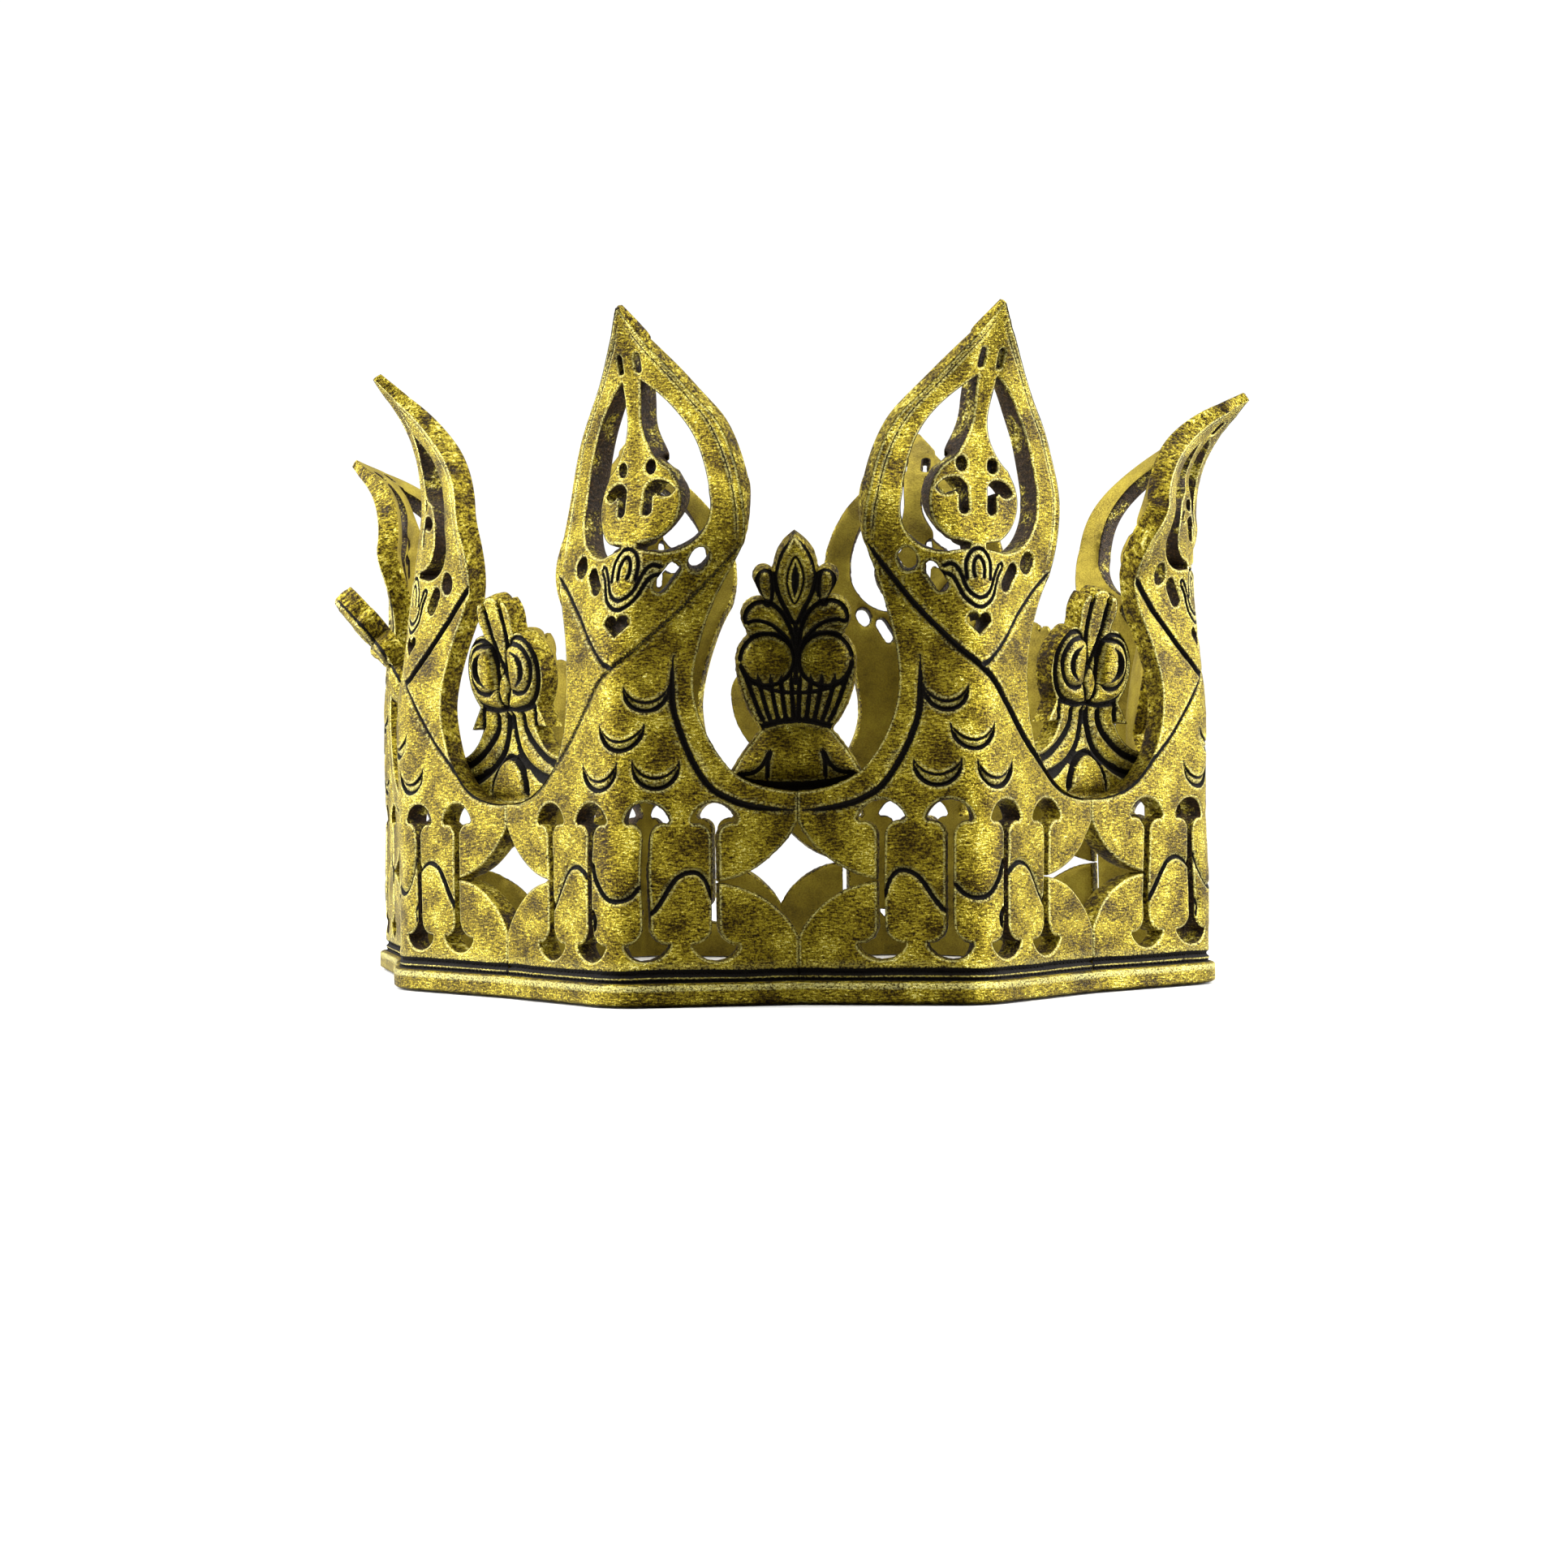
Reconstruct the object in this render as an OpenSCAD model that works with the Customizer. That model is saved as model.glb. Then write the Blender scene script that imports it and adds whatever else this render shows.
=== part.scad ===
/* [Ring] */
// Half the width of a prong panel, from its ridge fold to the seam in the valley, along the leather
panel_half = 38; // [38:0.1:38.6]
// Thickness of the prong panel leather
panel_t = 5; // [3:0.5:5.5]

/* [Prongs] */
// Height at which a panel starts to lean inward
lean_height = 62; // [56:1:70]
// Inward lean of the middle of a prong, degrees
lean_angle = 4.5; // [0:0.5:8]
// Height along the leather at which a prong starts to curl outward
curl_height = 109; // [106:1:112]
// Outward curl at the flame tip, degrees
curl_angle = 34; // [10:1:40]
// Height of the flame tip along the leather
tip_height = 143; // [140:1:146]

/* [Finials] */
// Thickness of the finial leather
finial_t = 4.5; // [3:0.5:5]
// Height along the leather at which a finial starts to curl outward
finial_curl_height = 60; // [58:1:64]
// Outward curl at the top of a finial, degrees
finial_curl_angle = 26; // [5:1:30]
// Outward curl at the top of the left lotus, which is bent further than the others, degrees
left_lotus_curl_angle = 52; // [20:1:54]

/* [Base rim] */
// Height of the half-round rim strip
rim_h = 4.6; // [3:0.2:6]
// How far the rim strip stands proud of the panels
rim_proud = 1.4; // [0.8:0.1:2]
// Depth and height of the step that rounds each edge of the rim strip
rim_step = 0.5; // [0.3:0.1:0.8]

/* [Hidden] */

gold = "#b39a2c";
dark_gold = "#8f7a24";
arc_steps = 5;

// Ridge folds seen from above, going round from the front left. The rear left is splayed wide.
ridge_spots = [
    [-37.5, -87.5], [37.5, -87.5], [92, -35], [97, 39.5],
    [34, 80.5], [-41, 83], [-104, 43], [-88.4, -31.2]
];
// Moves the ring so that the middle of the crown's bounding box is at the origin
ring_shift = [3.6, 2.2];

// Ring ----------------------------------------------------------------------------
// Valley i lies between ridge i and ridge i + 1, on the inner side of the chord between them
function unit(v) = v / norm(v);
function ridge(i) = ridge_spots[(i + 8) % 8] + ring_shift;
function chord(i) = ridge(i + 1) - ridge(i);
function chord_turn(i) = atan2(chord(i)[1], chord(i)[0]);
function valley_depth(i) = sqrt(panel_half * panel_half - chord(i) * chord(i) / 4);
function valley(i) =
    let (c = unit(chord(i)))
    (ridge(i) + ridge(i + 1)) / 2 + valley_depth(i) * [-c[1], c[0]];
function valley_angle(i) = asin(valley_depth(i) / panel_half);
function to_right(i) = unit(valley(i) - ridge(i));
function to_left(i) = unit(valley(i - 1) - ridge(i));
function inward(i) = unit(to_right(i) + to_left(i));
function ridge_turn(i) = atan2(-inward(i)[0], inward(i)[1]);
function fold_angle(i) = asin(to_right(i) * inward(i));

// Bends ---------------------------------------------------------------------------
// A list of bends holds, for each straight stretch of a bent sheet, the height along the leather
// at which it starts and its outward tilt
curl_steps = 4;
function curl(start, end, from_angle, to_angle) = [
    for (i = [1 : curl_steps])
        [start + (end - start) * (i - 1) / curl_steps, from_angle + (to_angle - from_angle) * i / curl_steps]
];
prong_bends = concat(
    [[0, 0], [lean_height, -lean_angle]],
    curl(curl_height, tip_height, -lean_angle, curl_angle)
);
finial_top = 96;
function finial_bends(angle) = concat([[0, 0]], curl(finial_curl_height, finial_top, 0, angle));
// Length of stretch i that lies below the height v
function run(b, i, v) = max(0, min(v, i + 1 < len(b) ? b[i + 1][0] : v) - b[i][0]);
// How far out, and how high, the point at the height v along a bent sheet comes to lie
function out(b, v, i = 0) = i == len(b) ? 0 : run(b, i, v) * sin(b[i][1]) + out(b, v, i + 1);
function rise(b, v, i = 0) = i == len(b) ? 0 : run(b, i, v) * cos(b[i][1]) + rise(b, v, i + 1);
// A flat outline as it lies on one side of a sheet that is bent, and folded back by an angle
function lay(points, b, angle) = [for (p = points) [p[0] - out(b, p[1]) * sin(angle), rise(b, p[1])]];

// Outlines ------------------------------------------------------------------------
// All outlines are of the flat leather: x is the distance from the fold and y the height
// Points of the circular arc from a through b to c
function arc3(a, b, c, n = arc_steps) =
    let (
        d = 2 * (a[0] * (b[1] - c[1]) + b[0] * (c[1] - a[1]) + c[0] * (a[1] - b[1])),
        aa = a * a,
        bb = b * b,
        cc = c * c,
        o = [
            (aa * (b[1] - c[1]) + bb * (c[1] - a[1]) + cc * (a[1] - b[1])) / d,
            (aa * (c[0] - b[0]) + bb * (a[0] - c[0]) + cc * (b[0] - a[0])) / d
        ],
        r = norm(a - o),
        start = atan2(a[1] - o[1], a[0] - o[0]),
        end = atan2(c[1] - o[1], c[0] - o[0]),
        turn = d > 0 ? (end - start + 720) % 360 : -((start - end + 720) % 360)
    )
    [for (i = [0 : n]) o + r * [cos(start + turn * i / n), sin(start + turn * i / n)]];

// Points of a slot with round ends, from p to q
function pill(p, q, r) =
    let (a = atan2(q[1] - p[1], q[0] - p[0]))
    [
        for (end = [0, 1], i = [0 : arc_steps])
            let (turn = a - 90 + 180 * end + 180 * i / arc_steps)
            (end == 0 ? q : p) + r * [cos(turn), sin(turn)]
    ];

// The panel runs on past the seam by this much, and is mitred there
run_on = 1.5;
// Outlines that reach the fold run on past it by this much, and are cut at the fold's plane
past_fold = 0.8;
// Outer edge of the lotus side of a panel, from the base to the flame's lower corner
lotus_edge = concat(
    [[panel_half + run_on, 0]],
    arc3([panel_half + run_on, 8.6], [32.7, 20.3], [21.8, 24.5]),
    arc3([21.8, 25], [32.7, 30], [panel_half + run_on, 41.2]),
    arc3([panel_half + run_on, 42.9], [30.5, 44], [25, 47], 3),
    arc3([24.5, 47.5], [19.2, 55.5], [17, 68], 4),
    arc3([17.2, 70], [19.4, 81], [23.8, 92.5], 3)
);
// Outer edge of the scroll side, drawn at positive x
scroll_edge = concat(
    [[panel_half + run_on, 0]],
    arc3([panel_half + run_on, 8.6], [32.7, 20.3], [21.8, 24.5]),
    arc3([21.8, 25], [32.7, 29.8], [panel_half + run_on, 39.6]),
    arc3([panel_half + run_on, 40.9], [26, 43.5], [19, 50], 4),
    arc3([18.5, 50.8], [16, 58.5], [15.6, 67], 3),
    arc3([15.8, 69], [18.2, 77.5], [23, 87], 3)
);
// Outer edge of the flame, from its lower corner to its tip, and back down past the fold
function flame_edge(corner) = concat(
    arc3(corner, [24, 105], [16.5, 120.5]),
    arc3([15.5, 121.7], [8.2, 130.8], [3.3, 137.5], 3),
    [[-past_fold, tip_height + past_fold], [-8, tip_height + past_fold], [-8, 0]]
);
// A frieze slot at a distance x: a narrow stem with a half-round head at each end
function frieze_slot(x) =
    let (stem = 0.8)
    [
        for (p = concat(
            arc3([5, 37.2], [0, 41], [-5, 37.2]),
            arc3([-4.4, 36.5], [-1.9, 36], [-stem, 34], 2),
            arc3([-stem, 15.5], [-1.9, 13.2], [-4.8, 12.2], 2),
            arc3([-4.8, 11.6], [0, 8.7], [4.8, 11.6]),
            arc3([4.8, 12.2], [1.9, 13.2], [stem, 15.5], 2),
            arc3([stem, 34], [1.9, 36], [4.4, 36.5], 2)
        ))
            p + [x, 0]
    ];
// The gap between the flame's frame and one side of the teardrop that hangs in it
flame_gap = concat(
    arc3([2.4, 127], [12.2, 117.5], [17.3, 104]),
    arc3([17.3, 102], [14.5, 93.5], [7, 90.6], 4),
    [[2, 91.5], [2, 92.7]],
    arc3([6, 93.2], [11, 99.5], [9.5, 106.5], 4),
    arc3([8.5, 108], [3.2, 113.5], [1.9, 121], 4)
);
teardrop_slot = pill([2.3, 129.3], [2.3, 132.4], 0.65);
teardrop_dot = pill([3.9, 108.4], [3.9, 108.9], 1.4);
teardrop_bar = pill([3.5, 99.6], [3.5, 103.6], 1.2);
teardrop_leaf = concat(
    arc3([4, 105.6], [7.5, 105.4], [9.8, 103.4], 3),
    arc3([9.3, 102.7], [7.4, 102.1], [5.6, 103], 2)
);
round_hole = pill([14.7, 88.8], [15.2, 89.8], 1.9);
slanted_hole = pill([8.2, 84.2], [10.3, 87.4], 1.5);
heart_hole = concat(
    arc3([3.2, 76.6], [1.9, 78.4], [-past_fold, 77.2], 3),
    [[-8, 77.2], [-8, 74], [-past_fold, 74]]
);
side_holes = concat(
    [frieze_slot(7.2), frieze_slot(21.2)],
    [flame_gap, teardrop_slot, teardrop_dot, teardrop_bar, teardrop_leaf],
    [round_hole, slanted_hole, heart_hole]
);

// Outer edges of one half of each finial, from the bottom of its tongue to its top
lotus_half = concat(
    arc3([0, 40.5], [8, 41.4], [14.5, 44.8], 4),
    [[16.3, 48.2], [14.8, 48.4], [13.2, 46.8]],
    arc3([13, 47], [9.8, 52.2], [7, 55.6], 3),
    arc3([7.2, 56.2], [10.2, 60.8], [11.9, 67.2], 4),
    arc3([11.9, 68], [11.4, 71.6], [9.4, 74.2], 3),
    arc3([9.6, 75.4], [10.8, 78], [6.4, 82], 5),
    arc3([7.8, 84.5], [7.6, 87.6], [4.3, 87.6], 4),
    arc3([4, 88.2], [2.8, 92], [0, 95.4], 3)
);
scroll_half = concat(
    arc3([0, 39], [12, 41.7], [21.3, 49], 5),
    [[20.8, 50.8]],
    arc3([18.2, 50.7], [12.3, 53], [9.3, 57.4], 4),
    [[13.4, 57], [10.2, 61.6]],
    arc3([10.8, 62.4], [13, 69.5], [9.8, 75.4], 5),
    arc3([9, 76], [7, 77], [4.4, 76.8], 2),
    arc3([5, 79.5], [5.4, 82.6], [3.8, 84.4], 3),
    [[0, 85]]
);

// Sheets --------------------------------------------------------------------------
reach = 60;

// One side of a folded and bent sheet, with x along the side and y into the ring. Its children are
// the laid pattern.
module bent_side(b, angle, t, top) {
    heights = concat([for (k = b) k[0]], [top + 3]);
    outer = [for (v = heights) [-out(b, v) * cos(angle), rise(b, v)]];
    inner = [for (i = [len(outer) - 1 : -1 : 0]) outer[i] + [t, 0]];
    intersection() {
        translate([0, reach, 0])
            rotate([90, 0, 0])
                linear_extrude(2 * reach)
                    children();
        translate([-reach, 0, 0])
            rotate([90, 0, 90])
                linear_extrude(2 * reach)
                    polygon(concat(outer, inner));
    }
}

// Both sides of a sheet, each cut at the plane of the fold. Child 0 is the pattern of the side at
// positive x and child 1 that of the other side.
module folded_sheet(b, angle, t, top) {
    intersection() {
        rotate([0, 0, angle])
            bent_side(b, angle, t, top)
                children(0);
        translate([0, -reach, -1])
            cube([reach, 2 * reach, 200]);
    }
    mirror([1, 0, 0])
        intersection() {
            rotate([0, 0, angle])
                bent_side(b, angle, t, top)
                    children(1);
            translate([0, -reach, -1])
                cube([reach, 2 * reach, 200]);
        }
}

module panel_side(edge, angle) {
    difference() {
        polygon(lay(concat(edge, flame_edge(edge[len(edge) - 1])), prong_bends, angle));
        for (hole = side_holes)
            polygon(lay(hole, prong_bends, angle));
    }
}

// A prong panel on ridge i. Neighbouring panels are mirror images: the lotus side is the right
// side of the even ones.
module prong(i) {
    angle = fold_angle(i);
    even = i % 2 == 0;
    difference() {
        translate([ridge(i)[0], ridge(i)[1], 0])
            rotate([0, 0, ridge_turn(i)])
                folded_sheet(prong_bends, angle, panel_t, tip_height) {
                    panel_side(even ? lotus_edge : scroll_edge, angle);
                    panel_side(even ? scroll_edge : lotus_edge, angle);
                }
        // Mitres at the two valleys
        for (k = [i - 1, i])
            translate([valley(k)[0], valley(k)[1], -1])
                rotate([0, 0, chord_turn(k)])
                    translate([k == i ? 0 : -10, -15, 0])
                        cube([10, 30, 60]);
    }
}

// A finial in valley i. It lies against the backs of two panels, so it is folded as they are.
module finial(i, half, curl_to) {
    angle = -valley_angle(i);
    b = finial_bends(curl_to);
    points = lay(concat(half, [[-3, half[len(half) - 1][1]], [-3, half[0][1]]]), b, angle);
    translate([valley(i)[0], valley(i)[1], 0])
        rotate([0, 0, chord_turn(i)])
            translate([0, panel_t / cos(angle), 0])
                folded_sheet(b, angle, finial_t, finial_top) {
                    polygon(points);
                    polygon(points);
                }
}

// Base rim ------------------------------------------------------------------------
base_points = [for (i = [0 : 7]) each [ridge(i), valley(i)]];
function edge_out(p, q) = let (e = unit(q - p)) [e[1], -e[0]];
// The outline of the panels' base, moved outward by d
function base_outline(d) = [
    for (j = [0 : 15])
        let (
            before = edge_out(base_points[(j + 15) % 16], base_points[j]),
            after = edge_out(base_points[j], base_points[(j + 1) % 16]),
            m = unit(before + after)
        )
        base_points[j] + m * d / (m * before)
];

module rim_layer(z0, z1, d) {
    translate([0, 0, z0])
        linear_extrude(z1 - z0)
            difference() {
                polygon(base_outline(d));
                polygon(base_outline(0));
            }
}

// Sub-parts -----------------------------------------------------------------------
module prong_front_left() { color(gold) prong(0); }
module prong_front_right() { color(gold) prong(1); }
module prong_right_front() { color(gold) prong(2); }
module prong_right_rear() { color(gold) prong(3); }
module prong_rear_right() { color(gold) prong(4); }
module prong_rear_left() { color(gold) prong(5); }
module prong_left_rear() { color(gold) prong(6); }
module prong_left_front() { color(gold) prong(7); }
module lotus_front() { color(dark_gold) finial(0, lotus_half, finial_curl_angle); }
module scroll_front_right() { color(dark_gold) finial(1, scroll_half, finial_curl_angle); }
module lotus_right() { color(dark_gold) finial(2, lotus_half, finial_curl_angle); }
module scroll_rear_right() { color(dark_gold) finial(3, scroll_half, finial_curl_angle); }
module lotus_rear() { color(dark_gold) finial(4, lotus_half, finial_curl_angle); }
module scroll_rear_left() { color(dark_gold) finial(5, scroll_half, finial_curl_angle); }
module lotus_left() { color(dark_gold) finial(6, lotus_half, left_lotus_curl_angle); }
module scroll_front_left() { color(dark_gold) finial(7, scroll_half, finial_curl_angle); }
module base_rim() {
    color(dark_gold) {
        rim_layer(0, rim_h, rim_proud - rim_step);
        rim_layer(rim_step, rim_h - rim_step, rim_proud);
    }
}

prong_front_left();
prong_front_right();
prong_right_front();
prong_right_rear();
prong_rear_right();
prong_rear_left();
prong_left_rear();
prong_left_front();
lotus_front();
lotus_right();
lotus_rear();
lotus_left();
scroll_front_right();
scroll_rear_right();
scroll_rear_left();
scroll_front_left();
base_rim();
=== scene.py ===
import math

import bmesh
import bpy
import numpy as np
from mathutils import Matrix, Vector
from mathutils.geometry import delaunay_2d_cdt
from mathutils.kdtree import KDTree


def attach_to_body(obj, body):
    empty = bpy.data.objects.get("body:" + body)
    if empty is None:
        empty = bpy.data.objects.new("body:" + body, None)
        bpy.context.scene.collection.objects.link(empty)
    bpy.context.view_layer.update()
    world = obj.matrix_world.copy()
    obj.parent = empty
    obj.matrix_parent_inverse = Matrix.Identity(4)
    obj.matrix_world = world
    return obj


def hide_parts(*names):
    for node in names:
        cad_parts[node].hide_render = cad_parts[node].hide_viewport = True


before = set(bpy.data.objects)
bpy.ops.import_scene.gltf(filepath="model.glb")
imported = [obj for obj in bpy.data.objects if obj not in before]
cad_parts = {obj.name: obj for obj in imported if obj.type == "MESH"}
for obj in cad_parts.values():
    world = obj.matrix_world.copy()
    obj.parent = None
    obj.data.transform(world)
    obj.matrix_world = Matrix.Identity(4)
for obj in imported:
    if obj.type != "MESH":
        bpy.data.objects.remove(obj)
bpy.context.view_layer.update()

# A leather costume crown, painted antique gold. Eight prongs of folded sheet stand side by side
# round a ring, a finial is glued behind each seam, and a half-round strip runs round the base.
# Each piece is drawn flat, as it was cut, then carved, bent and folded into its place.
# Flat patterns are in millimetres: u is the distance from the fold, v the height.
MM = 0.001
BOUNDARY_STEP = 0.5


# Curves ---------------------------------------------------------------------------------------

def spline(points, step=0.6, closed=False):
    """Points along a smooth curve through the given ones."""
    p = [np.array(q, float) for q in points]
    if closed:
        p = [p[-1], *p, p[0], p[1]]
    else:
        p = [2 * p[0] - p[1], *p, 2 * p[-1] - p[-2]]
    out = []
    for a, b, c, d in zip(p, p[1:], p[2:], p[3:]):
        count = max(2, math.ceil(np.linalg.norm(c - b) / step))
        for t in np.arange(count) / count:
            out.append(0.5 * (2 * b + (c - a) * t + (2 * a - 5 * b + 4 * c - d) * t ** 2
                              + (3 * b - a - 3 * c + d) * t ** 3))
    if not closed:
        out.append(p[-2])
    return np.array(out)


def arc(a, b, c, step=BOUNDARY_STEP):
    """Points of the circular arc from a through b to c."""
    a, b, c = (np.array(q, float) for q in (a, b, c))
    d = 2 * (a[0] * (b[1] - c[1]) + b[0] * (c[1] - a[1]) + c[0] * (a[1] - b[1]))
    aa, bb, cc = a @ a, b @ b, c @ c
    o = np.array([
        (aa * (b[1] - c[1]) + bb * (c[1] - a[1]) + cc * (a[1] - b[1])) / d,
        (aa * (c[0] - b[0]) + bb * (a[0] - c[0]) + cc * (b[0] - a[0])) / d,
    ])
    radius = np.linalg.norm(a - o)
    start = math.atan2(a[1] - o[1], a[0] - o[0])
    end = math.atan2(c[1] - o[1], c[0] - o[0])
    turn = (end - start) % (2 * math.pi) if d > 0 else -((start - end) % (2 * math.pi))
    count = max(2, math.ceil(radius * abs(turn) / step))
    angles = start + turn * np.linspace(0, 1, count + 1)
    return o + radius * np.stack([np.cos(angles), np.sin(angles)], 1)


def pill(p, q, r):
    """A slot with round ends, from p to q."""
    turn = math.atan2(q[1] - p[1], q[0] - p[0])
    ends = []
    for centre, side in ((q, -0.5), (p, 0.5)):
        angles = turn + math.pi * (side + np.linspace(0, 1, 8))
        ends.append(np.array(centre) + r * np.stack([np.cos(angles), np.sin(angles)], 1))
    return np.concatenate(ends)


def left(points):
    """The mirror image of a path on the right, run the other way."""
    return np.array(points, float)[::-1] * [-1, 1]


def beside(path, distance):
    """A path at a distance to the left of another."""
    path = np.array(path, float)
    along = np.gradient(path, axis=0)
    along /= np.linalg.norm(along, axis=1, keepdims=True) + 1e-9
    return path + distance * np.stack([-along[:, 1], along[:, 0]], 1)


def loop(*parts, step=BOUNDARY_STEP):
    """A closed outline from parts laid end to end, with no long side and no doubled point."""
    points = np.concatenate([np.array(p, float).reshape(-1, 2) for p in parts])
    out = []
    for p, q in zip(points, np.roll(points, -1, 0)):
        length = np.linalg.norm(q - p)
        if length < 0.05:
            continue
        count = math.ceil(length / (1.3 * step))
        out += [p + (q - p) * t for t in np.arange(count) / count]
    return np.array(out)


def short_of(points, limit):
    """The part of a path at u up to a limit, cut where it crosses it."""
    out = []
    for k, p in enumerate(points):
        if k and (p[0] > limit) != (points[k - 1][0] > limit):
            q = points[k - 1]
            t = (limit - q[0]) / (p[0] - q[0])
            out.append([limit, q[1] + t * (p[1] - q[1])])
        if p[0] <= limit:
            out.append(p)
    return np.array(out)


def rise_between(low, high, x):
    """0 below low, 1 above high, smooth between."""
    t = np.clip((x - low) / (high - low), 0, 1)
    return t * t * (3 - 2 * t)


def clouds(u, v, size, seed):
    """Smooth random values from -1 to 1, with lumps of about the given size."""
    lattice = np.random.default_rng(seed).uniform(-1, 1, (67, 71))
    rows, columns = lattice.shape
    x = np.asarray(u) / size + 300
    y = np.asarray(v) / size + 300
    i = np.floor(x).astype(int)
    j = np.floor(y).astype(int)
    s = rise_between(0, 1, x - i)
    t = rise_between(0, 1, y - j)

    def corner(a, b):
        return lattice[(i + a) % rows, (j + b) % columns]

    low = corner(0, 0) * (1 - s) + corner(1, 0) * s
    high = corner(0, 1) * (1 - s) + corner(1, 1) * s
    return low * (1 - t) + high * t


# Flat patterns --------------------------------------------------------------------------------

def inside(points, loops):
    """Whether each point lies in the outline and outside its holes."""
    crossings = np.zeros(len(points), int)
    for a in loops:
        b = np.roll(a, -1, 0)
        near = (points[:, 1] >= a[:, 1].min()) & (points[:, 1] <= a[:, 1].max())
        index = np.flatnonzero(near)
        for part in np.array_split(index, max(1, len(index) // 3000)):
            x, y = points[part, 0][:, None], points[part, 1][:, None]
            spans = (a[:, 1] > y) != (b[:, 1] > y)
            at = a[:, 0] + (y - a[:, 1]) * (b[:, 0] - a[:, 0]) / (b[:, 1] - a[:, 1] + 1e-12)
            crossings[part] += (spans & (x < at)).sum(1)
    return crossings % 2 == 1


def nearest(paths, points, reach):
    """Distance from each point to the nearest point of some paths, up to a reach."""
    tree = KDTree(sum(len(p) for p in paths))
    k = 0
    for path in paths:
        for q in path:
            tree.insert((q[0], q[1], 0), k)
            k += 1
    tree.balance()
    found = (tree.find((x, y, 0))[2] for x, y in points)
    return np.minimum(np.fromiter(found, float, len(points)), reach)


def grid(low, high, step):
    """A triangular grid of points over a rectangle."""
    rows = []
    for k, y in enumerate(np.arange(low[1], high[1], step * 0.87)):
        x = np.arange(low[0] + (k % 2) * step / 2, high[0], step)
        rows.append(np.stack([x, np.full(len(x), y)], 1))
    return np.concatenate(rows)


def ring_edges(loops):
    """The edges that join the points of closed loops, as pairs of indices."""
    edges = []
    start = 0
    for a in loops:
        n = len(a)
        edges += [(start + k, start + (k + 1) % n) for k in range(n)]
        start += n
    return edges


def merged(outline, holes):
    """Clean loops for an outline less its holes, some of which may cross it."""
    loops = [outline, *holes]
    flat = [Vector(p) for p in np.concatenate(loops)]
    verts, _, faces, _, _, _ = delaunay_2d_cdt(flat, ring_edges(loops), [], 0, 1e-7)
    points = np.array([tuple(p) for p in verts])
    faces = np.array(faces)
    centres = points[faces].mean(1)
    solid = inside(centres, [outline])
    for hole in holes:
        solid &= ~inside(centres, [hole])
    sides = {(int(f[k]), int(f[(k + 1) % 3])) for f in faces[solid] for k in range(3)}
    after = {a: b for a, b in sides if (b, a) not in sides}
    found = []
    while after:
        start, k = after.popitem()
        ring = [start]
        while k != start:
            ring.append(k)
            k = after.pop(k)
        found.append(points[ring])
    return sorted(found, key=len, reverse=True)


def triangulated(loops, extra):
    """Triangles over the loops' points followed by the extra ones, inside the outline only."""
    points = np.concatenate([*loops, extra])
    flat = [Vector(p) for p in points]
    verts, _, faces, origin, _, _ = delaunay_2d_cdt(flat, ring_edges(loops), [], 0, 1e-7)
    if len(verts) != len(points):
        raise ValueError(f"the pattern has {len(points)} points but {len(verts)} came back")
    index = np.array([o[0] for o in origin])
    triangles = index[np.array(faces)]
    centres = points[triangles].mean(1)
    return points, triangles[inside(centres, loops)]


def spaced(kept, new, gap):
    """The new points that keep a gap from those kept already, and from each other."""
    new = new[nearest([kept], new, 9) >= gap]
    cell = np.round(new / (0.8 * gap)).astype(int)
    _, first = np.unique(cell, axis=0, return_index=True)
    return new[np.sort(first)]


def across_edge(ring):
    """The unit direction square to a closed loop, at each of its points."""
    along = np.roll(ring, -1, 0) - np.roll(ring, 1, 0)
    along /= np.linalg.norm(along, axis=1, keepdims=True) + 1e-9
    return np.stack([-along[:, 1], along[:, 0]], 1)


class Pattern:
    """The flat sheet of one kind of piece: its outline and holes, its mesh and its carving."""

    def __init__(self, loops, strokes, pads=()):
        self.loops = loops
        edge = np.concatenate(loops)
        low, high = loops[0].min(0), loops[0].max(0)
        # The carved face has rows of points just inside its edges and along its cuts, a fine grid
        # beside the cuts and a coarse one elsewhere. Its back is plain and needs few.
        rows = []
        for a in loops:
            normal = across_edge(a)
            for side in (-1, 1):
                rows += [a + side * normal * 0.27, a + side * normal * 0.62]
        rows = np.concatenate(rows)
        rows = rows[inside(rows, loops)]
        rows = rows[nearest(loops, rows, 9) > 0.2]
        paths = [s["path"] for s in strokes] + [p["path"] for p in pads]
        lines = [beside(q, d) for q in paths for d in (0, 0.3, -0.3, 0.65, -0.65)]
        lines = np.concatenate(lines)
        fine = grid(low, high, 0.42)
        fine = fine[nearest(paths, fine, 9) < 1.4]
        coarse = grid(low, high, 1.05)
        kept = edge
        for new, gap in ((rows, 0.16), (lines, 0.2), (fine, 0.27), (coarse, 0.6)):
            new = new[inside(new, loops)]
            kept = np.concatenate([kept, spaced(kept, new, gap)])
        self.points, self.triangles = triangulated(loops, kept[len(edge):])
        back = grid(low, high, 2.4)
        back = back[inside(back, loops)]
        back = back[nearest(loops, back, 9) > 0.8]
        self.back_points, self.back_triangles = triangulated(loops, back)
        self.edge_distance = nearest(loops, self.points, 5)
        self.edge_distance[:len(edge)] = 0
        self.strokes = [carved(self.points, **s) for s in strokes]
        self.pads = [padded(self.points, **p) for p in pads]


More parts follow.
